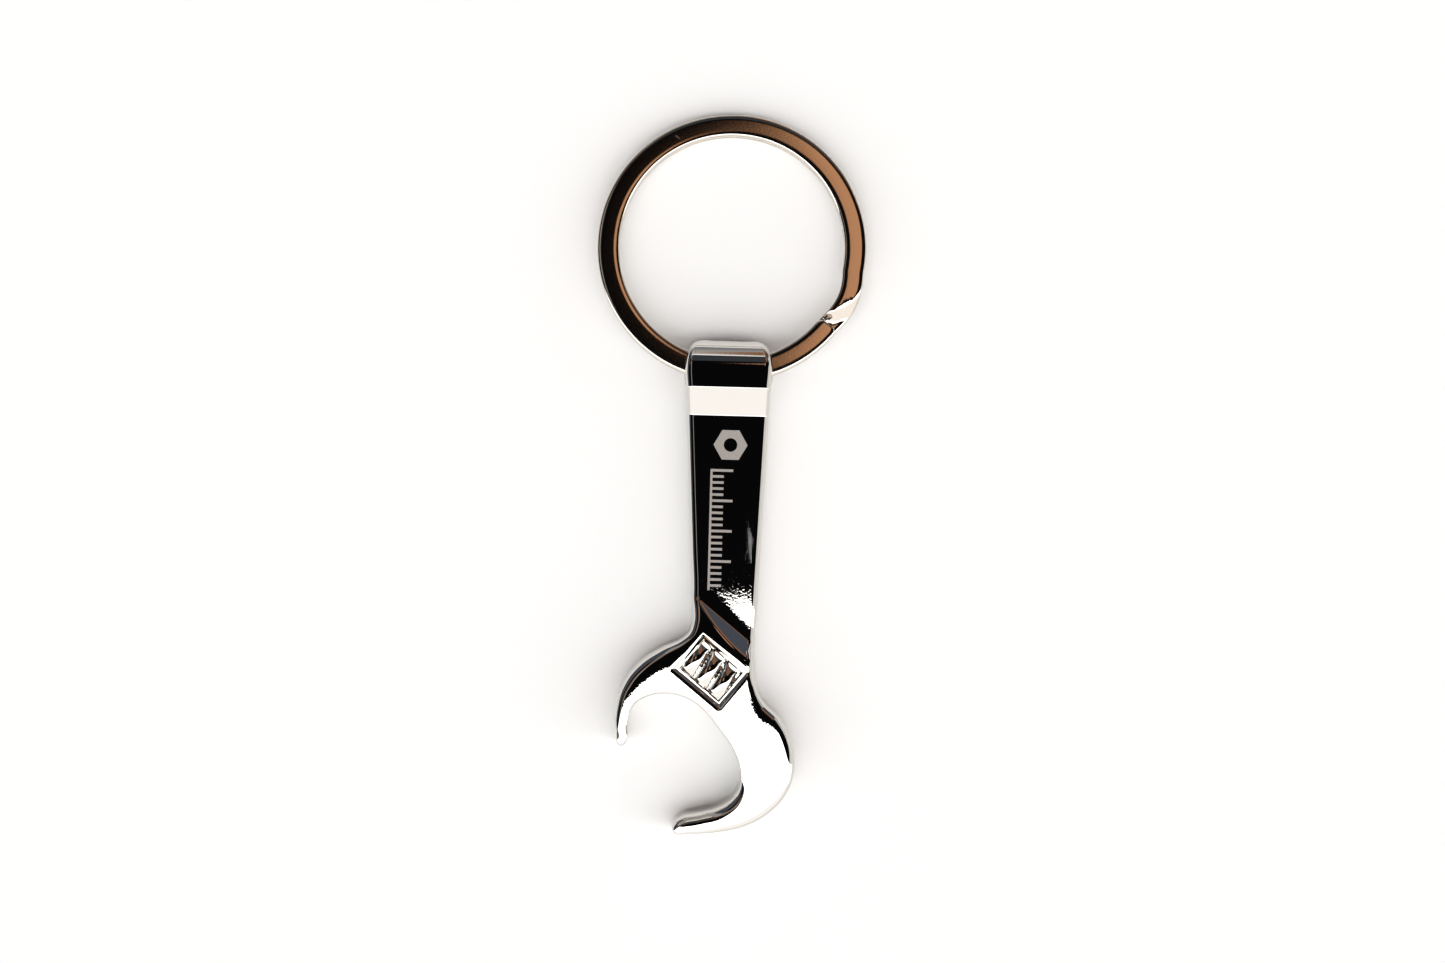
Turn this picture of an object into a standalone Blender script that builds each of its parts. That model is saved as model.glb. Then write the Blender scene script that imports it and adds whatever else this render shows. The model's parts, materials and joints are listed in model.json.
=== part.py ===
"""Keychain bottle opener in the shape of an adjustable wrench, on a flat-wire split ring.

The wrench is one zinc die casting that lies on its flat back: an eye at the top end, a
tapered handle, and a thicker head whose two jaws hook a bottle cap.  The split ring is two
turns of flat steel wire that pass sideways through the eye and swing about its bore.

Frame: origin on the flat back in the middle of the handle, +X to the right, +Y towards the
eye, +Z up out of the front face.
"""
import math

import bmesh
import bpy
from mathutils import Matrix, Vector

MM = 0.001

# Eye and handle
EYE_AXIS_Y = 14.0 * MM          # bore axis above the origin
EYE_WALL = 0.88 * MM            # metal left round the bore
EYE_HALF_WIDTH = 5.25 * MM
PAD_LENGTH = 2.6 * MM           # flat on top of the eye, from the bore axis
RAMP_LENGTH = 3.35 * MM         # slope from the eye down to the handle
HANDLE_THICKNESS = 3.7 * MM
HANDLE_LENGTH = 29.5 * MM       # bore axis to the neck
NECK_LEFT = 3.8 * MM
NECK_RIGHT = 4.3 * MM

# Head
HEAD_THICKNESS = 4.7 * MM
HEAD_SIZE = 1.0                 # scales the head's outline about the neck
STEP_ANGLE = math.radians(-38.7)
STEP_WIDTH = 2.0 * MM           # run of the slope from handle to head
STEP_BELOW_NECK = 0.4 * MM      # where the slope starts, on the handle's centre line

# Edges
WALL_DRAFT = 0.35 * MM
FRONT_ROUND = 0.9 * MM
BACK_ROUND = 0.3 * MM
ROUND_STEPS = 3
OUTLINE_RESOLUTION = 4

# Worm window in the head
WINDOW_LENGTH = 7.4 * MM
WINDOW_WIDTH = 5.75 * MM
WINDOW_RIM = 0.6 * MM
WINDOW_RISE = 0.25 * MM
WINDOW_DEPTH = 0.75 * MM
WINDOW_X = -1.15 * MM
WINDOW_BELOW_NECK = 6.55 * MM
WORM_RIDGE_WIDTH = 1.3 * MM
WORM_PITCH = 2.1 * MM
WORM_TILT = math.radians(13.0)
WORM_RIDGES = 5

# Split ring
RING_OUTER_RADIUS = 16.0 * MM
WIRE_WIDTH = 2.6 * MM
WIRE_THICKNESS = 0.93 * MM
TURN_GAP = 0.04 * MM
WIRE_EDGE = 0.25 * MM
END_ANGLE = math.radians(-37.0)     # cut end of the upper turn
JOG_SPAN = math.radians(27.0)       # where the wire steps from turn to turn
JOG_BULGE = 0.4 * MM
RING_STEP = math.radians(6.0)

# Fit of the ring in the eye
BORE_CLEARANCE = 0.1 * MM
BORE_FLARE = 0.25 * MM
BORE_STEPS = 36

NECK_Y = EYE_AXIS_Y - HANDLE_LENGTH
RING_THICKNESS = 2 * WIRE_THICKNESS + TURN_GAP
RING_MEAN_RADIUS = RING_OUTER_RADIUS - WIRE_WIDTH / 2
RING_INNER_RADIUS = RING_OUTER_RADIUS - WIRE_WIDTH

# The band curves as it crosses the eye, so it is deepest between its outer edge on the
# centre line and its inner edge at the eye's sides.  The ring hangs with that depth
# centred on the bore, and the bore leaves it room to turn.
BAND_NEAR = math.sqrt(RING_INNER_RADIUS**2 - EYE_HALF_WIDTH**2)
BAND_DEPTH = RING_OUTER_RADIUS - BAND_NEAR
RING_OFFSET = RING_OUTER_RADIUS - BAND_DEPTH / 2
BORE_RADIUS = math.hypot(BAND_DEPTH / 2, RING_THICKNESS / 2) + BORE_CLEARANCE
EYE_RADIUS = BORE_RADIUS + EYE_WALL     # roll of the end, about the bore axis
EYE_AXIS_Z = EYE_RADIUS
EYE_END = EYE_RADIUS - 0.05 * MM        # bore axis to the end edge

# Head outline below the neck in mm, left side first, with the softness of the edge there:
# 1 is the full edge round and draft, 0 a sharp upright wall.
HEAD_LEFT = [
    (-3.9, -1.8, 1.0), (-4.7, -2.7, 1.0), (-7.3, -3.95, 1.1), (-9.9, -5.8, 1.1),
    (-11.7, -8.3, 1.1), (-12.4, -11.3, 0.8), (-12.35, -14.0, 0.6), (-11.75, -15.8, 0.45),
    (-11.0, -15.3, 0.3),
]
MOUTH = [
    (-10.8, -12.8, 0.2), (-10.2, -11.0, 0.2), (-8.5, -9.85, 0.2), (-6.4, -9.5, 0.2),
    (-4.4, -9.85, 0.2), (-2.4, -10.95, 0.2), (-0.1, -13.5, 0.2), (1.9, -16.4, 0.2),
    (2.6, -18.9, 0.3), (2.0, -21.1, 0.5), (0.2, -22.5, 0.7), (-2.3, -23.3, 0.7),
    (-4.3, -23.85, 0.6), (-5.35, -25.1, 0.45),
]
HEAD_RIGHT = [
    (-5.1, -25.95, 0.4), (-3.2, -26.05, 0.8), (0.4, -25.8, 1.0), (3.6, -25.0, 1.1),
    (6.3, -23.4, 1.1), (8.3, -21.0, 1.1), (9.15, -18.0, 1.1), (8.7, -15.0, 1.1),
    (7.2, -12.0, 1.1), (5.2, -10.0, 1.1), (4.3, -7.9, 1.1), (4.05, -5.0, 1.0),
]


def remove_everything():
    for old in list(bpy.data.objects):
        bpy.data.objects.remove(old, do_unlink=True)


def make_collection(name):
    collection = bpy.data.collections.new(name)
    bpy.context.scene.collection.children.link(collection)
    return collection


def make_material(name, colour, roughness):
    material = bpy.data.materials.new(name)
    material.use_nodes = True
    shader = material.node_tree.nodes["Principled BSDF"]
    shader.inputs["Base Color"].default_value = (*colour, 1.0)
    shader.inputs["Metallic"].default_value = 1.0
    shader.inputs["Roughness"].default_value = roughness
    return material


def add_object(name, data, collection):
    thing = bpy.data.objects.new(name, data)
    collection.objects.link(thing)
    return thing


def evaluated_mesh(thing):
    """The mesh of a curve or a modified object, as the viewport shows it."""
    bpy.context.view_layer.update()
    graph = bpy.context.evaluated_depsgraph_get()
    return bpy.data.meshes.new_from_object(thing.evaluated_get(graph))


def body_outline():
    """Outline of the casting as points (x, y, softness), drawn as one smooth closed curve."""
    head = {}
    for name, nodes in (("left", HEAD_LEFT), ("mouth", MOUTH), ("right", HEAD_RIGHT)):
        head[name] = [
            (x * MM * HEAD_SIZE, NECK_Y + y * MM * HEAD_SIZE, soft) for x, y, soft in nodes
        ]
    corner = 0.7 * EYE_END
    side_top = EYE_AXIS_Y
    side_low = NECK_Y + 2.5 * MM
    eye_end = EYE_AXIS_Y + EYE_END
    left_side = [
        (-EYE_HALF_WIDTH * 0.35, eye_end, 0.35),
        (-EYE_HALF_WIDTH * 0.68, eye_end - 0.02 * MM, 0.35),
        (-EYE_HALF_WIDTH * 0.9, EYE_AXIS_Y + corner, 0.7),
        (-EYE_HALF_WIDTH, side_top, 1.0),
    ]
    for share in (0.25, 0.6, 1.0):
        width = EYE_HALF_WIDTH + (NECK_LEFT - EYE_HALF_WIDTH) * share
        left_side.append((-width, side_top + (side_low - side_top) * share, 1.0))
    right_side = []
    for share in (1.0, 0.6, 0.25, 0.0):
        width = EYE_HALF_WIDTH + (NECK_RIGHT - EYE_HALF_WIDTH) * share
        right_side.append((width, side_top + (side_low - side_top) * share, 1.0))
    right_side += [(-x, y, soft) for x, y, soft in reversed(left_side[:3])]
    nodes = left_side + head["left"] + head["mouth"] + head["right"] + right_side

    curve = bpy.data.curves.new("body_outline", "CURVE")
    curve.dimensions = "3D"
    curve.resolution_u = OUTLINE_RESOLUTION
    spline = curve.splines.new("BEZIER")
    spline.bezier_points.add(len(nodes) - 1)
    spline.use_cyclic_u = True
    for point, node in zip(spline.bezier_points, nodes):
        x, y, soft = node
        point.co = (x, y, soft * MM)
        point.handle_left_type = "AUTO"
        point.handle_right_type = "AUTO"
    holder = add_object("body_outline", curve, bpy.context.scene.collection)
    mesh = evaluated_mesh(holder)
    points = [(vertex.co.x, vertex.co.y, vertex.co.z / MM) for vertex in mesh.vertices]
    bpy.data.meshes.remove(mesh)
    bpy.data.objects.remove(holder)
    return points


def edge_profile():
    """Steps of the edge as (distance in from the outline, height), from the back upwards."""
    wall_top = HANDLE_THICKNESS - FRONT_ROUND
    steps = [(BACK_ROUND, 0.0), (0.0, BACK_ROUND)]
    for step in range(ROUND_STEPS + 1):
        angle = math.pi / 2 * step / ROUND_STEPS
        inward = WALL_DRAFT + FRONT_ROUND * (1 - math.cos(angle))
        steps.append((inward, wall_top + FRONT_ROUND * math.sin(angle)))
    return steps


def front_height(x, y):
    """Height of the front face: eye roll, pad, ramp, handle, sloping step and head."""
    above_axis = y - EYE_AXIS_Y
    eye_top = EYE_AXIS_Z + EYE_RADIUS
    if above_axis > 0:
        return EYE_AXIS_Z + math.sqrt(max(EYE_RADIUS**2 - above_axis**2, 0.0))
    ramp = min(max((-above_axis - PAD_LENGTH) / RAMP_LENGTH, 0.0), 1.0)
    height = eye_top + (HANDLE_THICKNESS - eye_top) * ramp
    into_head = (Vector((x, y)) - step_point()).dot(step_normal())
    step = min(max(into_head / STEP_WIDTH, 0.0), 1.0)
    return height + (HEAD_THICKNESS - HANDLE_THICKNESS) * step


def back_height(y):
    """Height of the back: flat, then rolled up round the end of the eye."""
    above_axis = max(y - EYE_AXIS_Y, 0.0)
    return EYE_AXIS_Z - math.sqrt(max(EYE_RADIUS**2 - above_axis**2, 0.0))


def step_point():
    return Vector((0.0, NECK_Y - STEP_BELOW_NECK))


def step_normal():
    return Vector((math.sin(STEP_ANGLE), -math.cos(STEP_ANGLE)))


def feature_lines():
    """Lines in plan, as (point, normal), along which the front or back face bends."""
    across = Vector((0.0, 1.0))
    lines = []
    for turn in range(6):
        roll = EYE_RADIUS * math.sin(math.radians(15.0 * turn))
        lines.append((Vector((0.0, EYE_AXIS_Y + roll)), across))
    lines.append((Vector((0.0, EYE_AXIS_Y - PAD_LENGTH)), across))
    lines.append((Vector((0.0, EYE_AXIS_Y - PAD_LENGTH - RAMP_LENGTH)), across))
    lines.append((step_point(), step_normal()))
    lines.append((step_point() + step_normal() * STEP_WIDTH, step_normal()))
    return lines


def blank_body():
    """The casting before it is bored: loops stepped in from the outline, closed and lifted."""
    outline = body_outline()
    count = len(outline)
    body = bmesh.new()
    loops = []
    for inward, height in edge_profile():
        loop = []
        for index, (x, y, soft) in enumerate(outline):
            ahead = outline[(index + 1) % count]
            behind = outline[index - 1]
            along = Vector((ahead[0] - behind[0], ahead[1] - behind[1])).normalized()
            inner = Vector((-along.y, along.x)) * inward * soft
            drop = (HANDLE_THICKNESS - height) * (soft if height > BACK_ROUND else 1.0)
            spot = (x + inner.x, y + inner.y, HANDLE_THICKNESS - drop)
            loop.append(body.verts.new(spot))
        loops.append(loop)
    for lower, upper in zip(loops, loops[1:]):
        for index in range(count):
            after = (index + 1) % count
            body.faces.new((lower[index], lower[after], upper[after], upper[index]))
    body.faces.new(list(reversed(loops[0])))
    body.faces.new(loops[-1])

    for point, normal in feature_lines():
        everything = body.verts[:] + body.edges[:] + body.faces[:]
        bmesh.ops.bisect_plane(
            body, geom=everything, dist=1e-7,
            plane_co=(point.x, point.y, 0.0), plane_no=(normal.x, normal.y, 0.0),
        )
    wall_top = HANDLE_THICKNESS - 1.1 * FRONT_ROUND
    for vertex in body.verts:
        share = min(vertex.co.z / wall_top, 1.0)
        lift = front_height(vertex.co.x, vertex.co.y) - HANDLE_THICKNESS
        vertex.co.z += lift * share + back_height(vertex.co.y) * (1 - share)
    bmesh.ops.triangulate(body, faces=body.faces[:])
    bmesh.ops.recalc_face_normals(body, faces=body.faces[:])
    mesh = bpy.data.meshes.new("wrench_body")
    body.to_mesh(mesh)
    body.free()
    return mesh


def bore_cutter(collection):
    """Turned cutter for the cross bore, wider towards both mouths."""
    radius = BORE_RADIUS
    reach = EYE_HALF_WIDTH + 2 * MM
    straight = EYE_HALF_WIDTH * 0.6
    slope = BORE_FLARE / (EYE_HALF_WIDTH - straight)
    wide = radius + slope * (reach - straight)
    profile = [
        (0.0, reach), (wide, reach), (radius, straight),
        (radius, -straight), (wide, -reach), (0.0, -reach),
    ]
    mesh = bpy.data.meshes.new("bore_cutter")
    edges = [(index, index + 1) for index in range(len(profile) - 1)]
    mesh.from_pydata([(x, 0.0, z) for x, z in profile], edges, [])
    cutter = add_object("bore_cutter", mesh, collection)
    screw = cutter.modifiers.new("turned", "SCREW")
    screw.steps = BORE_STEPS
    screw.render_steps = BORE_STEPS
    screw.use_merge_vertices = True
    screw.merge_threshold = 0.00001
    cutter.matrix_world = (
        Matrix.Translation((0.0, EYE_AXIS_Y, EYE_AXIS_Z)) @ Matrix.Rotation(math.pi / 2, 4, "Y")
    )
    return cutter


def window_frame():
    """Frame of the worm window: origin at its centre on the head's face, +X along it."""
    centre = Vector((WINDOW_X, NECK_Y - WINDOW_BELOW_NECK * HEAD_SIZE, HEAD_THICKNESS))
    return Matrix.Translation(centre) @ Matrix.Rotation(STEP_ANGLE, 4, "Z")


def window_block(name, length, width, low, high, collection):
    """A block on the window's centre, from low to high above the head's face."""
    block = bmesh.new()
    bmesh.ops.create_cube(block, size=1.0)
    bmesh.ops.scale(block, vec=(length, width, high - low), verts=block.verts)
    bmesh.ops.translate(block, vec=(0.0, 0.0, (high + low) / 2), verts=block.verts)
    mesh = bpy.data.meshes.new(name)
    block.to_mesh(mesh)
    block.free()
    thing = add_object(name, mesh, collection)
    thing.matrix_world = window_frame()
    return thing


def worm_ridge(index, collection):
    """One slanted thread crest of the cast worm, a round bar half sunk in the pocket."""
    radius = WORM_RIDGE_WIDTH / 2
    bpy.ops.mesh.primitive_cylinder_add(vertices=14, radius=radius, depth=2 * WINDOW_WIDTH)
    ridge = bpy.context.object
    ridge.name = f"worm_ridge_{index}"
    for owner in list(ridge.users_collection):
        owner.objects.unlink(ridge)
    collection.objects.link(ridge)
    along = (index - (WORM_RIDGES - 1) / 2) * WORM_PITCH
    ridge.matrix_world = (
        window_frame() @ Matrix.Translation((along, 0.0, WINDOW_RISE / 2 - radius))
        @ Matrix.Rotation(WORM_TILT, 4, "Z") @ Matrix.Rotation(math.pi / 2, 4, "X")
    )
    return ridge


def combine(thing, other, operation):
    modifier = thing.modifiers.new(other.name, "BOOLEAN")
    modifier.operation = operation
    modifier.solver = "EXACT"
    modifier.object = other


def make_wrench_body(parts, cutters):
    body = add_object("wrench_body", blank_body(), parts)
    rim = window_block("window_rim", WINDOW_LENGTH, WINDOW_WIDTH, -1 * MM, WINDOW_RISE, cutters)
    inner_length = WINDOW_LENGTH - 2 * WINDOW_RIM
    inner_width = WINDOW_WIDTH - 2 * WINDOW_RIM
    pocket = window_block(
        "window_pocket", inner_length, inner_width, -WINDOW_DEPTH, 2 * MM, cutters
    )
    worm = window_block(
        "worm", inner_length + WINDOW_RIM, inner_width + WINDOW_RIM,
        -WINDOW_DEPTH - WORM_RIDGE_WIDTH, WINDOW_RISE / 2, cutters,
    )
    first = worm_ridge(0, cutters)
    for index in range(1, WORM_RIDGES):
        combine(first, worm_ridge(index, cutters), "UNION")
    combine(worm, first, "INTERSECT")
    combine(body, rim, "UNION")
    combine(body, pocket, "DIFFERENCE")
    combine(body, worm, "UNION")
    combine(body, bore_cutter(cutters), "DIFFERENCE")
    body.data.materials.append(make_material("chrome_plated_zinc", (0.78, 0.78, 0.8), 0.06))
    body.data.shade_smooth()
    body.data.set_sharp_from_angle(angle=math.radians(25.0))
    return body


def wire_path():
    """Centre line of the wire about the ring's centre: upper turn, jog, lower turn."""
    level = (WIRE_THICKNESS + TURN_GAP) / 2
    whole = 2 * math.pi
    total = 2 * whole - JOG_SPAN
    jog_start = whole - JOG_SPAN
    steps = math.ceil(total / RING_STEP)
    points = []
    for step in range(steps + 1):
        travelled = total * step / steps
        across = min(max((travelled - jog_start) / JOG_SPAN, 0.0), 1.0)
        drop = (1 - math.cos(math.pi * across)) / 2
        radius = RING_MEAN_RADIUS + JOG_BULGE * math.sin(math.pi * across)
        angle = END_ANGLE - travelled
        height = level * (1 - 2 * drop)
        points.append(Vector((radius * math.cos(angle), radius * math.sin(angle), height)))
    return points


def wire_section(collection):
    """Section of the flat wire, a rectangle with its corners cut."""
    half_width = WIRE_WIDTH / 2
    half_thick = WIRE_THICKNESS / 2
    flat_x = half_width - WIRE_EDGE
    flat_y = half_thick - WIRE_EDGE
    corners = [
        (half_width, flat_y), (flat_x, half_thick), (-flat_x, half_thick),
        (-half_width, flat_y), (-half_width, -flat_y), (-flat_x, -half_thick),
        (flat_x, -half_thick), (half_width, -flat_y),
    ]
    curve = bpy.data.curves.new("wire_section", "CURVE")
    curve.dimensions = "2D"
    spline = curve.splines.new("POLY")
    spline.points.add(len(corners) - 1)
    spline.use_cyclic_u = True
    for point, corner in zip(spline.points, corners):
        point.co = (*corner, 0.0, 1.0)
    section = add_object("wire_section", curve, collection)
    section.hide_render = True
    return section


def ring_rest_tilt():
    """Angle that lays the far edge of the ring on the plane of the casting's back."""
    reach = RING_OFFSET + RING_OUTER_RADIUS
    tilt = 0.0
    for _ in range(20):
        low = RING_THICKNESS / 2 * math.cos(tilt)
        tilt = math.asin((EYE_AXIS_Z - low) / reach)
    return tilt


def make_split_ring(parts, cutters):
    path = wire_path()
    curve = bpy.data.curves.new("split_ring", "CURVE")
    curve.dimensions = "3D"
    curve.twist_mode = "Z_UP"
    curve.bevel_mode = "OBJECT"
    curve.bevel_object = wire_section(cutters)
    curve.use_fill_caps = True
    spline = curve.splines.new("POLY")
    spline.points.add(len(path) - 1)
    for point, spot in zip(spline.points, path):
        point.co = (*spot, 1.0)
    holder = add_object("split_ring_wire", curve, parts)
    mesh = evaluated_mesh(holder)
    bpy.data.objects.remove(holder)
    wire = bmesh.new()
    wire.from_mesh(mesh)
    bmesh.ops.remove_doubles(wire, verts=wire.verts[:], dist=0.000001)
    bmesh.ops.translate(wire, vec=(0.0, RING_OFFSET, 0.0), verts=wire.verts[:])
    bmesh.ops.recalc_face_normals(wire, faces=wire.faces[:])
    wire.to_mesh(mesh)
    wire.free()
    mesh.name = "split_ring"
    ring = add_object("split_ring", mesh, parts)
    ring.location = (0.0, EYE_AXIS_Y, EYE_AXIS_Z)
    ring.rotation_euler = (-ring_rest_tilt(), 0.0, 0.0)
    mesh.materials.clear()
    mesh.materials.append(make_material("nickel_plated_steel", (0.66, 0.64, 0.62), 0.14))
    mesh.shade_smooth()
    mesh.set_sharp_from_angle(angle=math.radians(25.0))
    return ring


def hide_cutters(cutters):
    for cutter in cutters.objects:
        cutter.hide_render = True
        cutter.display_type = "WIRE"


remove_everything()
part_collection = make_collection("keychain_bottle_opener")
cutter_collection = make_collection("cutters")
make_wrench_body(part_collection, cutter_collection)
make_split_ring(part_collection, cutter_collection)
hide_cutters(cutter_collection)
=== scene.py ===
"""Keychain bottle opener: a chromed zinc casting shaped like an adjustable wrench, hung on a
nickel-plated split ring.  Sections follow the object as it is put together: the casting, the
ring that is threaded through its eye, then the floor, the light and the camera."""
import json
import math

import bmesh
import bpy
from mathutils import Matrix, Vector
from mathutils.kdtree import KDTree


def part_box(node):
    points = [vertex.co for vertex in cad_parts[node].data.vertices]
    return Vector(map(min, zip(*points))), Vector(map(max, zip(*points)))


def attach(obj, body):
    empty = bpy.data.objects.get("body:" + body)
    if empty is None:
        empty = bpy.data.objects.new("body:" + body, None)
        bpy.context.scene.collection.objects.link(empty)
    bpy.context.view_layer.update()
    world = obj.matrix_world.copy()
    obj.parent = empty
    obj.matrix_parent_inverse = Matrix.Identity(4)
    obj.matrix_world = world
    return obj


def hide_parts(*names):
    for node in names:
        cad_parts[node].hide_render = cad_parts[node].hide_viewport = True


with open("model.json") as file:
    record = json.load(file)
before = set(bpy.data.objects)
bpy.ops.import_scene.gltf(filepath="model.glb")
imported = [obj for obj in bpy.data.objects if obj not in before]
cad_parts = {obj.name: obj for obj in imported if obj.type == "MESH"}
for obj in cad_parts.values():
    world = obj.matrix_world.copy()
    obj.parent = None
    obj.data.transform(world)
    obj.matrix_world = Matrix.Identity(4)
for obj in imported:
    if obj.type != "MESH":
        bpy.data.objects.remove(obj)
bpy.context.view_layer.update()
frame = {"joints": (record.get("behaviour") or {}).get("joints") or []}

# ---------------------------------------------------------------------------------------------
# The casting.  Zinc alloy, die cast in one piece in the shape of an adjustable wrench, then
# polished and plated with bright chrome.  The worm and its window are only cast relief.  The
# outline is drawn as one smooth curve, stepped in loop by loop round the edges, closed with a
# flat front and back, and cut along the lines where the front bends before it is lifted there.
# ---------------------------------------------------------------------------------------------
MM = 0.001
swing = next(joint for joint in frame["joints"] if joint["name"] == "ring_swing")
bore_axis = Vector(swing["pos_m"])
casting_low, casting_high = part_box("wrench_body")

eye_half_width = 5.25 * MM
eye_end = casting_high.y - bore_axis.y      # bore axis to the end edge
eye_radius = eye_end + 0.05 * MM            # roll of the end, about the bore axis
pad_length = 2.6 * MM
ramp_length = 3.15 * MM
handle_thickness = 3.7 * MM
head_thickness = 4.7 * MM
neck_y = -15.5 * MM
neck_left = 3.8 * MM
neck_right = 4.3 * MM

wall_draft = 0.12 * MM
front_round = 0.9 * MM          # height of the round along the front edges
round_width = 0.85 * MM
back_round = 0.3 * MM
flat_band = 0.06 * MM           # flat left between a round and the face inside it
trim_rise = 0.02 * MM           # the casting stands this much too tall until it is trimmed

# Outline below the neck in mm, with the softness of the edge there: 1 is the full round and
# draft of a tumbled outer edge, 0.38 the crisp upright wall of the mouth.
head_left = [
    (-3.9, -1.8, 1.0), (-4.7, -2.7, 1.0), (-7.3, -3.95, 1.4), (-9.9, -5.8, 1.4),
    (-11.7, -8.3, 1.2), (-12.4, -11.3, 0.8), (-12.35, -14.0, 0.6), (-11.75, -15.8, 0.45),
    (-11.0, -15.3, 0.3),
]
mouth = [
    (-10.8, -12.8, 0.38), (-10.2, -11.0, 0.38), (-8.5, -9.85, 0.38), (-6.4, -9.5, 0.38),
    (-4.4, -9.85, 0.38), (-2.4, -10.95, 0.38), (-0.1, -13.5, 0.38), (1.9, -16.4, 0.38),
    (2.6, -18.9, 0.5), (2.0, -21.1, 1.2), (0.2, -22.5, 1.6), (-2.3, -23.3, 1.6),
    (-4.3, -23.85, 1.5), (-5.35, -25.1, 0.8),
]
head_right = [
    (-5.1, -25.95, 0.45), (-3.2, -26.05, 0.5), (0.4, -25.8, 0.8), (3.6, -25.0, 1.0),
    (6.3, -23.4, 1.1), (8.3, -21.0, 1.1), (9.15, -18.0, 1.1), (8.7, -15.0, 1.1),
    (7.2, -12.0, 1.1), (5.2, -10.0, 1.1), (4.3, -7.9, 1.1), (4.05, -5.0, 1.0),
]
outline_nodes = [
    (-eye_half_width * 0.35, bore_axis.y + eye_end, 0.35),
    (-eye_half_width * 0.68, bore_axis.y + eye_end - 0.02 * MM, 0.35),
    (-eye_half_width * 0.9, bore_axis.y + 0.7 * eye_end, 0.7),
    (-eye_half_width, bore_axis.y, 1.0),
]
side_low = neck_y + 2.5 * MM
side_length = bore_axis.y - side_low
side_shares = [
    (place + turn * 0.15 * MM) / side_length
    for place in (pad_length, pad_length + ramp_length) for turn in (-1, 1)
] + [0.4, 0.6, 0.8, 1.0]
for share in side_shares:
    side_x = eye_half_width + (neck_left - eye_half_width) * share
    outline_nodes.append((-side_x, bore_axis.y - side_length * share, 1.0))
for x, y, soft in head_left + mouth + head_right:
    outline_nodes.append((x * MM, neck_y + y * MM, soft))
for share in reversed([0.0] + side_shares):
    side_x = eye_half_width + (neck_right - eye_half_width) * share
    outline_nodes.append((side_x, bore_axis.y - side_length * share, 1.0))
for x, y, soft in reversed(outline_nodes[:3]):
    outline_nodes.append((-x, y, soft))


def object_mode_nothing_selected():
    if bpy.context.object and bpy.context.object.mode != "OBJECT":
        bpy.ops.object.mode_set(mode="OBJECT")
    bpy.ops.object.select_all(action="DESELECT")


def extrude_loop(piece, loop):
    """Extrudes the selected loop of vertices and returns the new ones in the same order."""
    bpy.ops.mesh.extrude_edges_indiv()
    mesh = bmesh.from_edit_mesh(piece.data)
    mesh.verts.ensure_lookup_table()
    extruded = []
    for index in loop:
        old = mesh.verts[index]
        extruded.append(next(edge.other_vert(old) for edge in old.link_edges
                             if edge.other_vert(old).select).index)
    return extruded


def close_loop(piece, loop):
    """Closes a loop of vertices with one face; the piece is left in edit mode."""
    bpy.ops.object.mode_set(mode="EDIT")
    bpy.ops.mesh.select_all(action="DESELECT")
    bpy.ops.object.mode_set(mode="OBJECT")
    for index in loop:
        piece.data.vertices[index].select = True
    bpy.ops.object.mode_set(mode="EDIT")
    bpy.ops.mesh.edge_face_add()


def cut_with(piece, cutter, operation):
    """Cuts the piece with the cutter, which is then thrown away."""
    cut = piece.modifiers.new("cut", "BOOLEAN")
    cut.operation = operation
    cut.object = cutter
    object_mode_nothing_selected()
    piece.select_set(True)
    bpy.context.view_layer.objects.active = piece
    bpy.ops.object.modifier_apply(modifier=cut.name)
    bpy.data.objects.remove(cutter)


object_mode_nothing_selected()
bpy.ops.curve.primitive_bezier_circle_add(radius=1.0)
wrench = bpy.context.object
wrench.name = "wrench_casting"
spline = wrench.data.splines[0]
spline.bezier_points.add(len(outline_nodes) - len(spline.bezier_points))
for point, (x, y, soft) in zip(spline.bezier_points, outline_nodes):
    point.co = (x, y, soft * MM)
    point.handle_left_type = "AUTO"
    point.handle_right_type = "AUTO"
wrench.data.resolution_u = 10
bpy.ops.object.convert(target="MESH")
wrench.data.name = "wrench_casting"
outline = [(v.co.x, v.co.y, v.co.z / MM) for v in wrench.data.vertices]
count = len(outline)

# Steps of the edge as (distance in, height): back round, drafted wall, front round, a flat band
# and last a rise that stands over the flat front until the gridded block cuts it off.
edge_steps = [(back_round + flat_band, 0.0)]
for turn in range(6):
    angle = math.pi / 2 * turn / 5
    edge_steps.append((back_round * (1 - math.sin(angle)), back_round * (1 - math.cos(angle))))
wall_top = handle_thickness - front_round
for turn in range(15):
    angle = math.pi / 2 * turn / 14
    inward = wall_draft + round_width * (1 - math.cos(angle))
    edge_steps.append((inward, wall_top + front_round * math.sin(angle)))
face_inset = wall_draft + round_width
edge_steps.append((face_inset + flat_band, handle_thickness))
edge_steps.append((face_inset + 2 * flat_band, handle_thickness + trim_rise))

across = []
for index in range(count):
    ahead = outline[(index + 1) % count]
    behind = outline[index - 1]
    along = Vector((ahead[0] - behind[0], ahead[1] - behind[1])).normalized()
    across.append(Vector((-along.y, along.x)))

bpy.ops.object.mode_set(mode="EDIT")
bpy.ops.mesh.select_mode(type="VERT")
bpy.ops.mesh.select_all(action="SELECT")
loops = [list(range(count))]
for _ in edge_steps[1:]:
    loops.append(extrude_loop(wrench, loops[-1]))
bpy.ops.object.mode_set(mode="OBJECT")
for (inward, height), loop in zip(edge_steps, loops):
    for (x, y, soft), normal, index in zip(outline, across, loop):
        drop = (handle_thickness - height) * (soft if back_round < height < handle_thickness else 1.0)
        spot = Vector((x, y)) + normal * inward * soft
        wrench.data.vertices[index].co = (spot.x, spot.y, handle_thickness - drop)
close_loop(wrench, loops[0])
close_loop(wrench, loops[-1])

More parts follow.
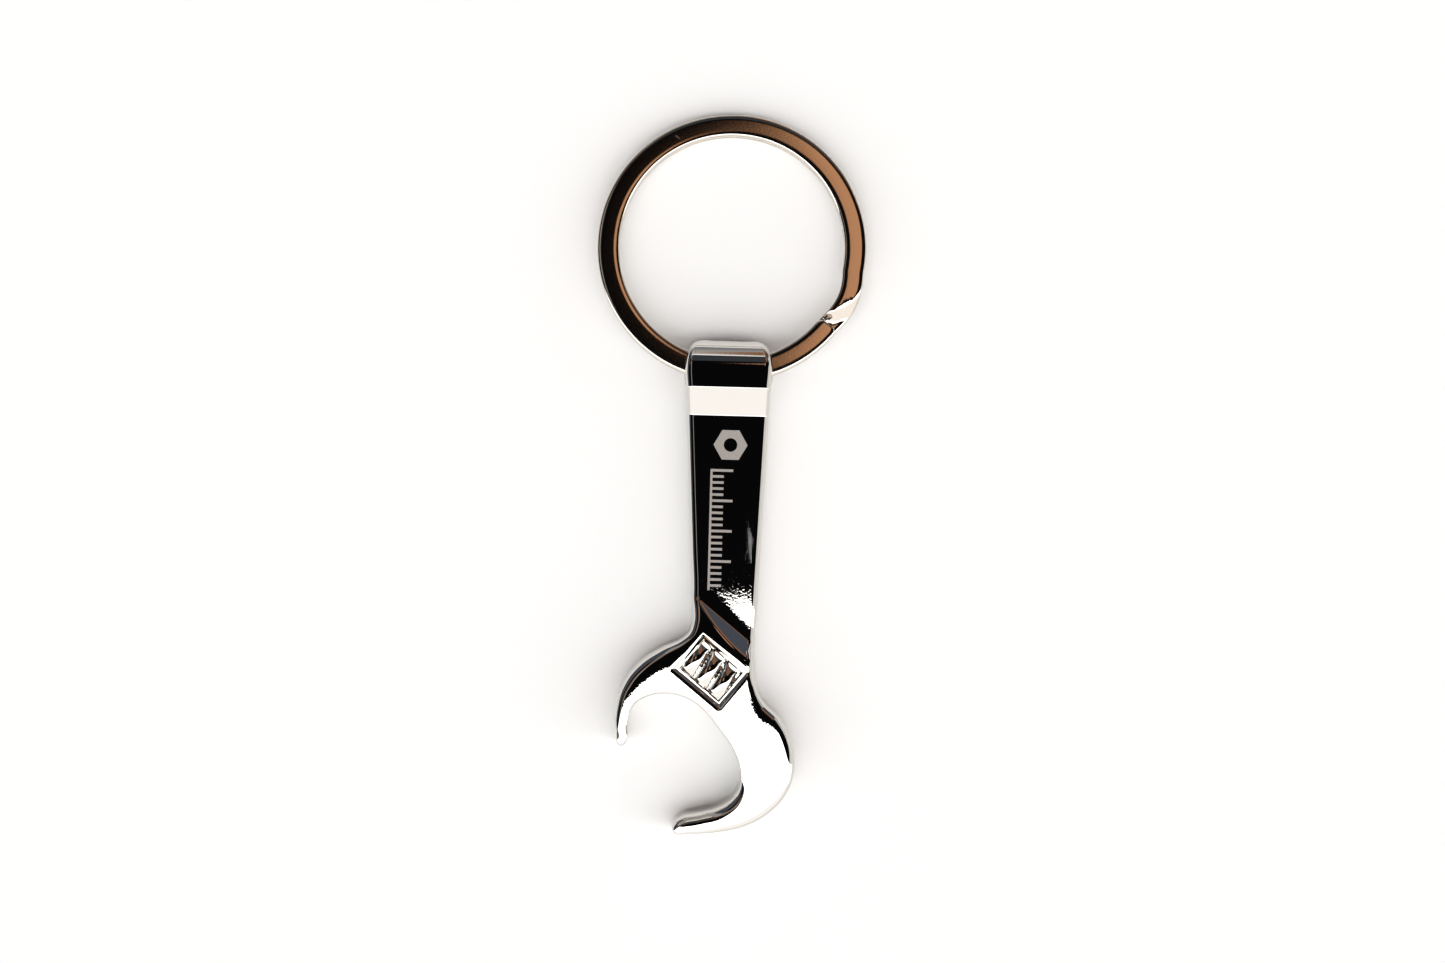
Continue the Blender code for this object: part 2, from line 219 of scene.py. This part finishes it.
# The back rolls up under the end of the eye, so its flat is cut across there step by step.
for turn in range(18):
    bpy.ops.mesh.select_all(action="DESELECT")
    bpy.ops.object.mode_set(mode="OBJECT")
    for vertex in wrench.data.vertices:
        vertex.select = vertex.co.z < 0.001 * MM
    bpy.ops.object.mode_set(mode="EDIT")
    place = bore_axis.y + eye_radius * math.sin(math.radians(4.5 * turn))
    bpy.ops.mesh.bisect(plane_co=(0.0, place, 0.0), plane_no=(0.0, 1.0, 0.0))
bpy.ops.mesh.select_all(action="SELECT")
bpy.ops.mesh.normals_make_consistent(inside=False)
bpy.ops.object.mode_set(mode="OBJECT")

# The slope from the handle up to the head runs along a slanted line, narrow at the left and
# widening to the right; the worm window lies parallel to it.
step_angle = math.radians(-38.7)
step_along = Vector((math.cos(step_angle), math.sin(step_angle)))
step_inward = Vector((math.sin(step_angle), -math.cos(step_angle)))
step_point = Vector((0.0, neck_y - 0.4 * MM))
step_start = -3.9 * MM          # left end of the crease, along its line
window_centre = Vector((-1.15 * MM, neck_y - 6.55 * MM))
window_length = 7.4 * MM
window_width = 5.75 * MM


def spread(stops):
    """Places from stop to stop; each stop is a place and the spacing wanted up to it."""
    places = [stops[0][0]]
    for place, spacing in stops[1:]:
        start = places[-1]
        steps = max(round(abs(place - start) / spacing), 1)
        places += [start + (place - start) * step / steps for step in range(1, steps + 1)]
    return places


# Rows of the front's grid, as distance down from the bore axis along the middle, and its
# columns.  The rows lie across the handle, and turn to lie along the crease at the head.
window_offset = window_centre - step_point
window_along = window_offset.dot(step_along)
window_inward = window_offset.dot(step_inward)
bend_radius = 0.08 * MM
pad_end = pad_length
ramp_end = pad_length + ramp_length
ramp_top = bore_axis.y - pad_end
ramp_foot = bore_axis.y - ramp_end
crease = bore_axis.y - step_point.y
row_angle = -step_angle
rolls = [-eye_radius * math.sin(math.radians(4.5 * turn)) for turn in range(18, 0, -1)]
turned_from = ramp_end + 1.0 * MM
turned_by = crease - 2.0 * MM
rows = [-eye_end - 1.0 * MM] + rolls + spread([
    (0.0, 1.0), (pad_end - bend_radius, 0.8 * MM), (pad_end + bend_radius, 0.02 * MM),
    (ramp_end - bend_radius, 0.8 * MM), (ramp_end + bend_radius, 0.02 * MM),
    (turned_by, 0.5 * MM),
])
columns = spread([
    (-10.0 * MM, 1.0), (window_along - window_length / 2, 0.3 * MM),
    (window_along + window_length / 2, 0.075 * MM), (19.5 * MM, 0.35 * MM),
])
to_inward = math.cos(row_angle)
rows_down = spread([
    (-2.0 * MM * to_inward, 1.0), (window_inward - window_width / 2, 0.1 * MM),
    (window_inward + window_width / 2, 0.075 * MM), (24.0 * MM, 0.4 * MM),
])
rows += [crease + inward / to_inward for inward in rows_down[1:]]

object_mode_nothing_selected()
bpy.ops.mesh.primitive_grid_add(
    x_subdivisions=len(columns) - 1, y_subdivisions=len(rows) - 1, size=1.0)
block = bpy.context.object
grid = sorted(
    block.data.vertices, key=lambda vertex: (-round(vertex.co.y, 5), round(vertex.co.x, 5)))
for place, vertex in enumerate(grid):
    down = rows[place // len(columns)]
    across_row = columns[place % len(columns)]
    turned = min(max((down - turned_from) / (turned_by - turned_from), 0.0), 1.0)
    angle = step_angle * turned
    middle = Vector((0.0, bore_axis.y - down))
    if down > crease:
        middle = step_point + step_inward * (down - crease) * to_inward
    spot = middle + Vector((math.cos(angle), math.sin(angle))) * across_row
    vertex.co = (spot.x, spot.y, handle_thickness + trim_rise / 2)
bpy.ops.object.mode_set(mode="EDIT")
bpy.ops.mesh.select_mode(type="EDGE")
bpy.ops.mesh.select_all(action="DESELECT")
bpy.ops.mesh.select_non_manifold()
bpy.ops.mesh.extrude_edges_move(
    TRANSFORM_OT_translate={"value": (0.0, 0.0, -handle_thickness - 1.0 * MM)})
bpy.ops.mesh.edge_face_add()
bpy.ops.mesh.select_all(action="SELECT")
bpy.ops.mesh.normals_make_consistent(inside=False)
bpy.ops.object.mode_set(mode="OBJECT")
cut_with(wrench, block, "INTERSECT")

# Points along the outer edges of the head, towards which its face falls away in a slight crown.
edge_points = [
    point for point, (x, y, soft) in enumerate(outline)
    if y < neck_y - 1.0 * MM and soft > 0.65 and y > neck_y - 19.0 * MM
]
outer_edge = KDTree(len(edge_points))
for place, point in enumerate(edge_points):
    outer_edge.insert((outline[point][0], outline[point][1], 0.0), place)
outer_edge.balance()
crown_reach = 3.2 * MM
crown_drop = 0.1 * MM
crown_left_end = neck_y - 13.5 * MM     # down the left jaw the crown fades out to here
lead_length = 1.8 * MM          # the handle starts to rise this far before the crease
lead_rise = 0.02 * MM
crease_tip = step_point + step_along * step_start
head_reach = 9.0 * MM           # from the tip of the crease to the full height of the head
step_slope = math.tan(math.radians(30))
crease_radius = 0.012 * MM
face_lean = 0.05                # the face still climbs by this share of its height,
lean_reach = 3.0 * MM           # over this length past the crease

bevel_drop = 0.17 * MM          # worm window: the bevel round its frame
bevel_width = 0.32 * MM
frame_lean = 0.035
frame_width = 0.62 * MM
barrel_radius = 4.2 * MM
barrel_shift = 0.5 * MM
thread_pitch = 2.13 * MM
thread_shift = 0.2 * MM
thread_half_width = 0.9 * MM
thread_depth = 0.5 * MM
thread_end = 0.7 * MM           # length over which a ridge sinks at its ends
thread_tilt = math.radians(8.5)
pocket_depth = 0.78 * MM


def smooth(value):
    """0 below 0 and 1 above 1, smoothly between."""
    value = min(max(value, 0.0), 1.0)
    return value * value * (3 - 2 * value)


def soft_ramp(value, radius):
    """0 below 0 and value above it, with the corner rounded over radius on each side."""
    if value <= -radius:
        return 0.0
    if value >= radius:
        return value
    return (value + radius) ** 2 / (4 * radius)


def worm_height(along, up_window):
    """Height of the cast worm window over the head: bevel, frame, pocket and thread ridges."""
    to_edge = min(window_length / 2 - abs(along), window_width / 2 - abs(up_window))
    frame_height = -bevel_drop * smooth(to_edge / bevel_width)
    frame_height += frame_lean * (up_window - 0.5 * along) * smooth(to_edge / (0.4 * MM))
    inside = smooth((to_edge - frame_width) / (0.2 * MM))
    barrel = 0.02 * MM - (up_window + barrel_shift) ** 2 / (2 * barrel_radius)
    root = max(barrel - thread_depth, -pocket_depth)
    to_end = window_width / 2 - 0.6 * MM - abs(up_window)
    end = min(max(to_end / thread_end, 0.0), 1.0)
    height = root
    for ridge in range(-2, 3):
        off = (along - ridge * thread_pitch + thread_shift) * math.cos(thread_tilt)
        off = (off + up_window * math.sin(thread_tilt)) / thread_half_width
        if abs(off) < 1:
            fullness = math.sqrt((1 - off**2) * (1 - (1 - end) ** 2))
            height = max(height, root + (barrel - root) * fullness)
    return frame_height + (height - frame_height) * inside


def front_height(x, y):
    """Height of the front: eye roll, pad, ramp, handle, step, head and worm window."""
    above_axis = y - bore_axis.y
    eye_top = bore_axis.z + eye_radius
    if above_axis > 0:
        return bore_axis.z + math.sqrt(max(eye_radius**2 - above_axis**2, 0.0))
    slope = (eye_top - handle_thickness) / ramp_length
    height = eye_top - slope * soft_ramp(ramp_top - y, bend_radius)
    height += slope * soft_ramp(ramp_foot - y, bend_radius)
    spot = Vector((x, y))
    inward = (spot - step_point).dot(step_inward)
    lead_in = min(max(1 + inward / lead_length, 0.0), 1.0)
    height += lead_rise * lead_in**2
    share = min((spot - crease_tip).length / head_reach, 1.0)
    head_rise = (head_thickness - handle_thickness) * (1 - (1 - share) ** 2)
    head_rise *= 1 - face_lean * max(1 - inward / lean_reach, 0.0)
    slope_rise = step_slope * soft_ramp(inward, crease_radius)
    round_over = min(0.15 * MM, 0.5 * head_rise + 0.001 * MM)
    height += head_rise - soft_ramp(head_rise - slope_rise, round_over)
    if inward > 0:
        edge = outer_edge.find((x, y, 0.0))[2]
        crown = max(1 - edge / crown_reach, 0.0) ** 2 * min(inward / (2 * MM), 1.0)
        if x < 0:
            crown *= smooth((y - crown_left_end) / (5.5 * MM))
        height -= crown_drop * crown
    offset = spot - window_centre
    along_window = offset.dot(step_along)
    up_window = -offset.dot(step_inward)
    if abs(along_window) <= window_length / 2 and abs(up_window) <= window_width / 2:
        height += worm_height(along_window, up_window)
    return height


lift_from = handle_thickness - 1.1 * front_round
for vertex in wrench.data.vertices:
    x, y, z = vertex.co
    z = min(z, handle_thickness)
    share = min(z / lift_from, 1.0)
    above_axis = max(y - bore_axis.y, 0.0)
    back = bore_axis.z - math.sqrt(max(eye_radius**2 - above_axis**2, 0.0))
    vertex.co.z = z + (front_height(x, y) - handle_thickness) * share + back * (1 - share)

# The cross bore is drilled through the eye with a cutter that flares at both mouths.
bore_radius = 2.167 * MM
bore_flare = 0.2 * MM
bore_reach = eye_half_width + 1.5 * MM
object_mode_nothing_selected()
bpy.ops.mesh.primitive_cylinder_add(
    vertices=96, radius=bore_radius, depth=2 * bore_reach, location=bore_axis,
    rotation=(0.0, math.pi / 2, 0.0),
)
bore = bpy.context.object
bpy.ops.object.transform_apply(location=True, rotation=True, scale=True)
bpy.ops.object.mode_set(mode="EDIT")
flare_start = 0.6 * eye_half_width
for side in (-1, 1):
    for line in range(13):
        bpy.ops.mesh.select_all(action="SELECT")
        place = flare_start + (bore_reach - flare_start) * line / 13
        bpy.ops.mesh.bisect(plane_co=(side * place, 0.0, 0.0), plane_no=(1.0, 0.0, 0.0))
bpy.ops.object.mode_set(mode="OBJECT")
for vertex in bore.data.vertices:
    past = max(abs(vertex.co.x) - flare_start, 0.0) / (eye_half_width - flare_start)
    grow = 1 + bore_flare / bore_radius * past**3
    vertex.co.y = bore_axis.y + (vertex.co.y - bore_axis.y) * grow
    vertex.co.z = bore_axis.z + (vertex.co.z - bore_axis.z) * grow
cut_with(wrench, bore, "DIFFERENCE")
bpy.ops.object.shade_smooth_by_angle(angle=math.radians(40))


def linear(hex_colour):
    """sRGB hex value to a linear colour with alpha."""
    channels = []
    for place in (0, 2, 4):
        value = int(hex_colour[place:place + 2], 16) / 255
        channels.append(value / 12.92 if value <= 0.04045 else ((value + 0.055) / 1.055) ** 2.4)
    return (*channels, 1.0)


def add_node(tree, kind, inputs=None, **settings):
    """Adds a node, with its settings and its inputs as values or as sockets to link from."""
    made = tree.nodes.new(kind)
    for name, value in settings.items():
        setattr(made, name, value)
    for name, value in (inputs or {}).items():
        if isinstance(value, bpy.types.NodeSocket):
            tree.links.new(value, made.inputs[name])
        else:
            made.inputs[name].default_value = value
    return made


def new_material(name, finish):
    """A material with the finish set on its shader; its tree and shader are returned too."""
    material = bpy.data.materials.new(name)
    material.use_nodes = True
    tree = material.node_tree
    shader = tree.nodes["Principled BSDF"]
    for socket, value in finish.items():
        shader.inputs[socket].default_value = value
    return material, tree, shader


def pressed_noise(vector, scale, detail, roughness, depth, under=None):
    """Noise of this depth pressed into the surface as bump, over the bump under it."""
    noise = add_node(tree, "ShaderNodeTexNoise", {
        "Vector": vector, "Scale": scale, "Detail": detail, "Roughness": roughness})
    inputs = {"Height": noise.outputs["Fac"], "Strength": 1.0, "Distance": depth}
    if under is not None:
        inputs["Normal"] = under
    return add_node(tree, "ShaderNodeBump", inputs).outputs["Normal"]


def calc(operation, first, second=0.0, third=0.0):
    """One step of arithmetic on sockets or values."""
    return add_node(tree, "ShaderNodeMath", {0: first, 1: second, 2: third},
                    operation=operation).outputs[0]


# Bright chrome: a mirror with a faint warm tint.  The polished casting under it leaves a slight
# waviness about 1.5 mm long and a finer peel that frays the edges of reflections.
chrome, tree, shader = new_material("bright_chrome_plate", {})
place = add_node(tree, "ShaderNodeTexCoord").outputs["Object"]
wave = pressed_noise(place, 1 / (1.6 * MM), 1.0, 0.5, 0.0008 * MM)
peel = pressed_noise(place, 1 / (0.3 * MM), 1.0, 0.6, 0.0009 * MM, wave)
tree.links.new(peel, shader.inputs["Normal"])

# Laser mark on the handle: a plain hexagon nut and a graduated scale, burnt to a matt grey.
axes = add_node(tree, "ShaderNodeSeparateXYZ", {"Vector": place}).outputs
nut_x = calc("ABSOLUTE", calc("SUBTRACT", axes["X"], 0.45 * MM))
nut_y = calc("ABSOLUTE", calc("SUBTRACT", axes["Y"], 4.7 * MM))
nut_side = calc("ADD", calc("MULTIPLY", nut_y, 0.5), calc("MULTIPLY", nut_x, 0.866))
nut = calc("LESS_THAN", calc("MAXIMUM", nut_y, nut_side), 1.75 * MM)
nut_radius = calc("SQRT", calc("ADD", calc("MULTIPLY", nut_x, nut_x),
                               calc("MULTIPLY", nut_y, nut_y)))
hole = calc("COMPARE", nut_radius, 0.0, 0.8 * MM)
nut = calc("SUBTRACT", nut, hole)
scale_x = calc("ADD", axes["X"], 1.85 * MM)
scale_y = calc("SUBTRACT", 1.8 * MM, axes["Y"])
on_scale = calc("COMPARE", scale_y, 7.2 * MM, 7.2 * MM)
tick = calc("LESS_THAN", calc("FLOORED_MODULO", scale_y, 0.72 * MM), 0.3 * MM)
long_tick = calc("LESS_THAN", calc("FLOORED_MODULO", scale_y, 3.6 * MM), 0.3 * MM)
tick_end = calc("MULTIPLY_ADD", long_tick, 1.1 * MM, 1.6 * MM)
tick = calc("MULTIPLY", tick, calc("LESS_THAN", scale_x, tick_end))
tick = calc("MAXIMUM", tick, calc("LESS_THAN", scale_x, 0.26 * MM))
tick = calc("MULTIPLY", tick, calc("GREATER_THAN", scale_x, 0.0))
mark = calc("MAXIMUM", nut, calc("MULTIPLY", tick, on_scale))
mark = calc("MULTIPLY", mark, calc("GREATER_THAN", axes["Z"], 3.0 * MM))
grit = add_node(tree, "ShaderNodeTexNoise", {"Vector": place, "Scale": 1 / (0.12 * MM)})
burnt = add_node(tree, "ShaderNodeMix", {
    0: grit.outputs["Fac"], 6: linear("8E8883"), 7: linear("A9A29C")}, data_type="RGBA")
colour = add_node(tree, "ShaderNodeMix", {
    0: mark, 6: linear("D4D1CC"), 7: burnt.outputs[2]}, data_type="RGBA")

# Handling has left a hazy smear down the right of the handle.
drawn = add_node(tree, "ShaderNodeMapping", {
    "Vector": place, "Scale": (1 / (0.6 * MM), 1 / (4.0 * MM), 1 / (0.6 * MM))})
smear = add_node(tree, "ShaderNodeTexNoise", {
    "Vector": drawn.outputs[0], "Scale": 1.0, "Detail": 5.0, "Roughness": 0.7})
across_smear = calc("DIVIDE", calc("SUBTRACT", axes["X"], 2.9 * MM), 0.8 * MM)
along_smear = calc("DIVIDE", calc("ADD", axes["Y"], 7.0 * MM), 5.0 * MM)
off_smear = calc("ADD", calc("MULTIPLY", across_smear, across_smear),
                 calc("MULTIPLY", along_smear, along_smear))
haze = add_node(tree, "ShaderNodeMapRange", {
    "Value": calc("MULTIPLY_ADD", off_smear, -0.25, smear.outputs["Fac"]),
    "From Min": 0.4, "From Max": 0.55, "To Min": 0.01, "To Max": 0.08})
tree.links.new(colour.outputs[2], shader.inputs["Base Color"])
tree.links.new(calc("MULTIPLY_ADD", mark, -1.0, 1.0), shader.inputs["Metallic"])
tree.links.new(calc("MULTIPLY_ADD", mark, 0.5, haze.outputs["Result"]),
               shader.inputs["Roughness"])
wrench.data.materials.clear()
wrench.data.materials.append(chrome)

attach(wrench, "wrench")
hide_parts("wrench_body")

# ---------------------------------------------------------------------------------------------
# The split ring.  One length of flat spring-steel wire, coiled edgewise into two turns and
# nickel plated.  Each turn runs almost full circle, and between them the wire steps down
# across the gap between its own two ends.
# ---------------------------------------------------------------------------------------------
ring_outer_radius = 16.0 * MM
wire_width = 2.6 * MM
wire_thickness = 0.93 * MM
turn_gap = 0.04 * MM
end_angle = math.radians(-37.0)
jog_span = math.radians(27.0)
jog_bulge = 0.4 * MM
ring_thickness = 2 * wire_thickness + turn_gap
ring_mean_radius = ring_outer_radius - wire_width / 2
band_near = math.sqrt((ring_outer_radius - wire_width) ** 2 - eye_half_width**2)
ring_offset = (ring_outer_radius + band_near) / 2
rest_tilt = math.asin((bore_axis.z - ring_thickness / 2) / (ring_offset + ring_outer_radius))

end_narrowing = 0.35            # share of its width that the wire loses at its ends,
end_taper = 0.8 * MM            # over this length
corner = 0.28 * MM              # round of the rolled edges
shoulder = 0.75 * MM            # from the edge to where the face turns flat
shoulder_slope = 0.12

# One quarter of the wire's section, from the middle of its face round to the middle of its edge.
half_width = wire_width / 2
quarter = [(0.0, wire_thickness / 2)]
for step in range(6):
    past = step / 5
    sunk = shoulder_slope * (shoulder - corner) / 2 * past**2
    quarter.append((half_width - shoulder + (shoulder - corner) * past,
                    wire_thickness / 2 - sunk))
for turn in range(1, 7):
    angle = math.pi / 2 * turn / 6
    quarter.append((half_width - corner + corner * math.sin(angle),
                    wire_thickness / 2 - sunk - corner * (1 - math.cos(angle))))
section = (
    [(x, z) for x, z in quarter] + [(x, -z) for x, z in reversed(quarter)]
    + [(-x, -z) for x, z in quarter[1:]] + [(-x, z) for x, z in reversed(quarter[1:])]
)

object_mode_nothing_selected()
bpy.ops.mesh.primitive_circle_add(vertices=len(section), radius=wire_width)
ring = bpy.context.object
ring.name = "split_ring_wire"
ring.data.name = "split_ring_wire"

level = (wire_thickness + turn_gap) / 2
whole_travel = 4 * math.pi - jog_span
jog_start = 2 * math.pi - jog_span
ring_steps = 500


def wire_spot(travelled, out, rise):
    """Place of a point of the wire's section after turning so far; the outside drops first."""
    past_jog = min(max((travelled - jog_start) / jog_span, 0.0), 1.0)
    to_end = min(travelled, whole_travel - travelled) * ring_mean_radius
    narrowed = 1 - end_narrowing * max(1 - to_end / end_taper, 0.0) ** 2
    radius = ring_mean_radius + out * narrowed + jog_bulge * math.sin(math.pi * past_jog)
    share_out = 2 * out / wire_width
    drop_from = 2 * math.pi + end_angle + math.radians(27 - 9.5 * share_out - 3.5 * share_out**2)
    drop_to = 2 * math.pi + end_angle + math.radians(34.5 - 3.5 * share_out - share_out**2)
    drop = smooth((travelled - drop_from) / (drop_to - drop_from))
    angle = end_angle - travelled
    return Vector((
        radius * math.cos(angle), radius * math.sin(angle), level * (1 - 2 * drop) + rise))


bpy.ops.object.mode_set(mode="EDIT")
bpy.ops.mesh.select_mode(type="VERT")
bpy.ops.mesh.select_all(action="SELECT")
stations = [list(range(len(section)))]
for _ in range(ring_steps):
    stations.append(extrude_loop(ring, stations[-1]))
bpy.ops.object.mode_set(mode="OBJECT")
lay = (
    Matrix.Translation(bore_axis) @ Matrix.Rotation(-rest_tilt, 4, "X")
    @ Matrix.Translation((0.0, ring_offset, 0.0))
)
for step, station in enumerate(stations):
    for index, (out, rise) in zip(station, section):
        spot = wire_spot(whole_travel * step / ring_steps, out, rise)
        ring.data.vertices[index].co = lay @ spot
close_loop(ring, stations[0])
close_loop(ring, stations[-1])

# Both ends are selected together and broken with a small round.
bpy.ops.object.mode_set(mode="OBJECT")
for index in stations[0]:
    ring.data.vertices[index].select = True
bpy.ops.object.mode_set(mode="EDIT")
bpy.ops.mesh.select_mode(type="EDGE")
bpy.ops.mesh.bevel(offset=0.16 * MM, segments=4, affect="EDGES")
bpy.ops.mesh.select_all(action="SELECT")
bpy.ops.mesh.normals_make_consistent(inside=False)
bpy.ops.object.mode_set(mode="OBJECT")
bpy.ops.object.shade_smooth_by_angle(angle=math.radians(40))

# Nickel plate on rolled wire: warmer and a little duller than the chrome, with fine scratches
# from the keys it has carried.
nickel, tree, shader = new_material(
    "nickel_plated_spring_wire", {"Base Color": linear("D2CAC0"), "Metallic": 1.0})
place = add_node(tree, "ShaderNodeTexCoord").outputs["Object"]
centre = lay @ Vector((0.0, 0.0, 0.0))
axes = add_node(tree, "ShaderNodeSeparateXYZ", {"Vector": place}).outputs
forward = calc("SUBTRACT", axes["Y"], centre.y)
turned = calc("MULTIPLY", calc("ARCTAN2", forward, axes["X"]), ring_mean_radius)
radial = calc("SQRT", calc("ADD", calc("MULTIPLY", axes["X"], axes["X"]),
                           calc("MULTIPLY", forward, forward)))
rolled = add_node(tree, "ShaderNodeCombineXYZ", {
    "X": calc("DIVIDE", turned, 5.0 * MM), "Y": calc("DIVIDE", radial, 0.16 * MM)}).outputs[0]
rolling = pressed_noise(rolled, 1.0, 3.0, 0.6, 0.0012 * MM)
peel = pressed_noise(place, 1 / (0.25 * MM), 3.0, 0.6, 0.0012 * MM, rolling)

# Nicks: short pale scratches across the wire, one every few millimetres.
skewed = add_node(tree, "ShaderNodeVectorRotate", {
    "Vector": place, "Axis": (0.0, 0.0, 1.0), "Angle": 0.6}).outputs[0]
nick_at = add_node(tree, "ShaderNodeVectorMath", {
    0: skewed, 1: (1 / (1.6 * MM), 1 / (0.25 * MM), 0.0)}, operation="MULTIPLY").outputs[0]
nicks = add_node(tree, "ShaderNodeTexVoronoi", {"Vector": nick_at, "Scale": 0.5})
chosen = add_node(tree, "ShaderNodeSeparateColor", {0: nicks.outputs["Color"]}).outputs[0]
nick = calc("MULTIPLY", calc("LESS_THAN", nicks.outputs["Distance"], 0.11),
            calc("GREATER_THAN", chosen, 0.86))
tree.links.new(peel, shader.inputs["Normal"])
tree.links.new(calc("MULTIPLY_ADD", nick, 0.2, 0.07), shader.inputs["Roughness"])
ring.data.materials.clear()
ring.data.materials.append(nickel)

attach(ring, "ring")
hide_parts("split_ring")

# ---------------------------------------------------------------------------------------------
# The floor and the light.  A sheet of white paper under a room that is dark straight above,
# with a broad white window of light from below the handle and pale walls round it.
# ---------------------------------------------------------------------------------------------
object_mode_nothing_selected()
bpy.ops.mesh.primitive_plane_add(size=4.0, location=(0.0, 0.0, -0.02 * MM))
floor = bpy.context.object
floor.name = "paper_floor"
paper, tree, shader = new_material(
    "matt_white_paper", {"Base Color": linear("FAFAF9"), "Roughness": 0.9})
place = add_node(tree, "ShaderNodeTexCoord").outputs["Object"]
grain = pressed_noise(place, 1 / (1.0 * MM), 4.0, 0.7, 0.02 * MM)
tree.links.new(grain, shader.inputs["Normal"])
floor.data.materials.append(paper)

world = bpy.data.worlds.new("studio")
bpy.context.scene.world = world
world.use_nodes = True
tree = world.node_tree
tree.nodes.clear()
direction = add_node(tree, "ShaderNodeTexCoord").outputs["Generated"]
parts = add_node(tree, "ShaderNodeSeparateXYZ", {"Vector": direction}).outputs


def weighted(vector, across_weight, along_weight, up_weight):
    """How far a direction points along the weights."""
    return add_node(tree, "ShaderNodeVectorMath", {
        0: vector, 1: (across_weight, along_weight, up_weight)},
        operation="DOT_PRODUCT").outputs["Value"]


def fade(value, low, high):
    """0 at low and 1 at high, smoothly between."""
    return add_node(tree, "ShaderNodeMapRange", {
        "Value": value, "From Min": low, "From Max": high},
        interpolation_type="SMOOTHSTEP").outputs["Result"]


def layer(below, above, mask):
    """The colour above laid over the one below where the mask is 1."""
    return add_node(tree, "ShaderNodeMix", {0: mask, 6: below, 7: above},
                    data_type="RGBA").outputs[2]


def band(value, low, high, soft):
    """1 between low and high and 0 outside, with soft borders."""
    return calc("MULTIPLY", fade(value, low - soft, low), fade(value, high + soft, high))


# Dark ceiling: everything on the upper side of a tilted plane, low on the right and high ahead,
# cool grey far ahead and near the floor at the left.
ceiling = weighted(direction, 0.179, -0.538, 1.0)
wall = layer(linear("8E8E92"), linear("CFCBC6"), fade(ceiling, -0.45, 0.15))
room = layer(wall, (1.3, 1.28, 1.25, 1.0), fade(ceiling, 0.19, 0.22))
room = layer(room, linear("4E545E"), fade(parts["X"], -0.3, -0.45))
dark = layer(linear("0A0A0B"), linear("3E4247"), fade(parts["Y"], 0.34, 0.40))
dark = layer(dark, linear("0A0A0B"), fade(parts["X"], -0.2, -0.3))
room = layer(room, dark, fade(ceiling, 0.279, 0.30))
room = layer(room, linear("A8A6A2"), band(parts["X"], -0.36, -0.25, 0.03))
room = layer(room, linear("F4F2EE"), fade(weighted(direction, 1.0, -0.8, 0.0), 0.78, 0.81))
# A cool grey window wall to the upper right, with a brown frame round it.
facing = Vector((0.62, 0.78, 0.0)).normalized() * math.sin(math.radians(66))
window_wall = weighted(direction, facing.x, facing.y, math.cos(math.radians(66)))
ahead = fade(weighted(direction, 1.0, -1.0, 0.0), 0.2, 0.1)
room = layer(room, linear("96694A"), calc("MULTIPLY", ahead, fade(window_wall, 0.81, 0.83)))
room = layer(room, linear("525862"), calc("MULTIPLY", ahead, fade(window_wall, 0.932, 0.947)))
# A thin brown rail high up to the left, ahead.
rail = calc("MULTIPLY", band(weighted(direction, -0.62, 0.78, 0.0), 0.44, 0.52, 0.03),
            fade(parts["X"], -0.1, -0.2))
rail = calc("MULTIPLY", rail, fade(parts["Y"], 0.08, 0.15))
room = layer(room, linear("80573C"), calc("MULTIPLY", rail, fade(parts["Z"], 0.3, 0.5)))
# Something brown overhead, a little ahead and to the right.
brown_at = add_node(tree, "ShaderNodeVectorMath", {
    0: direction, 1: (0.08, 0.225, 0.0)}, operation="SUBTRACT").outputs[0]
brown_far = add_node(tree, "ShaderNodeVectorMath", {
    0: brown_at, 1: (1 / 0.065, 1 / 0.085, 0.0)}, operation="MULTIPLY").outputs[0]
brown_distance = add_node(tree, "ShaderNodeVectorMath", {0: brown_far},
                          operation="LENGTH").outputs["Value"]
brown = calc("MULTIPLY", fade(brown_distance, 1.3, 0.8), fade(parts["Z"], 0.0, 0.1))
room = layer(room, linear("DBA47C"), brown)
# The broad light from below the handle.  Its edge draws back a little at both sides, and it is
# dimmer and warmer near the floor.
aside = calc("MAXIMUM", calc("SUBTRACT", -0.03, parts["X"]),
             calc("MULTIPLY_ADD", parts["X"], 0.35, -0.01))
aside = calc("MAXIMUM", aside, 0.0)
key = fade(calc("MULTIPLY_ADD", aside, 0.15, parts["Y"]), -0.0413, -0.0421)
key_light = layer((2.5, 2.5, 2.5, 1.0), (3.8, 3.8, 3.8, 1.0), parts["Z"])
key_light = layer(key_light, (1.45, 1.42, 1.40, 1.0), fade(parts["Y"], -0.3, -0.42))
room = layer(room, key_light, key)
seen = add_node(tree, "ShaderNodeLightPath").outputs["Is Camera Ray"]
shown = layer(room, linear("F0F0F0"), seen)
background = add_node(tree, "ShaderNodeBackground", {"Color": shown, "Strength": 1.0})
add_node(tree, "ShaderNodeOutputWorld", {"Surface": background.outputs[0]})

# ---------------------------------------------------------------------------------------------
# The camera looks straight down from 340 mm, turned a little so that the handle leans.
# ---------------------------------------------------------------------------------------------
camera = bpy.data.objects.new("camera", bpy.data.cameras.new("camera"))
bpy.context.scene.collection.objects.link(camera)
camera.location = (-0.39 * MM, 0.34 * MM, 340 * MM)
camera.rotation_euler = (0.0, 0.0, math.radians(1.5))
camera.data.lens = 70.6
camera.data.sensor_width = 36.0
camera.data.clip_start = 0.01
bpy.context.scene.camera = camera
bpy.context.scene.view_settings.view_transform = "Standard"
